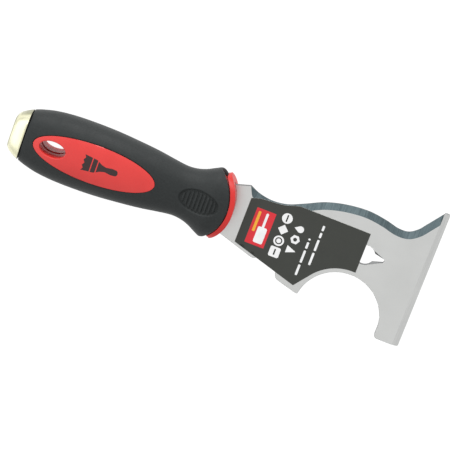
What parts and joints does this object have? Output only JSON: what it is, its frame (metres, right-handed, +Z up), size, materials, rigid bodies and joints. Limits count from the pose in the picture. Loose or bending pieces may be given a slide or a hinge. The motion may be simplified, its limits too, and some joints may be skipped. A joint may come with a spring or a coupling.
{
  "type": "painters multi tool",
  "caption": "Hand tool for painters: flat steel blade with scraper edge, point, roller-cleaning arc and nail slot, in a soft-grip handle with a metal hammer cap.",
  "frame": {"origin": "middle of the tool's outline, on the surface that it lies on", "axes": "+X from the hammer cap towards the scraper edge, +Z up out of the labelled face, +Y towards the blade's point"},
  "size_m": [0.204, 0.0676, 0.0241],
  "materials": {
    "steel": "satin ground stainless steel",
    "red_plastic": "smooth moulded polypropylene, soft gloss",
    "black_rubber": "matt moulded thermoplastic rubber with a fine texture",
    "brass": "pale polished brass plate",
    "fastener_steel": "plain steel",
    "label": "printed vinyl sticker, semi-matt"
  },
  "bodies": {
    "root": {"blade": "steel", "core_front": "red_plastic", "core_back": "red_plastic", "grip": "black_rubber", "front_collar": "red_plastic", "hammer_cap": "brass", "cap_cross_pin": "fastener_steel", "tang_rivet_rear": "fastener_steel", "tang_rivet_front": "fastener_steel", "label": "label"}
  },
  "joints": []
}
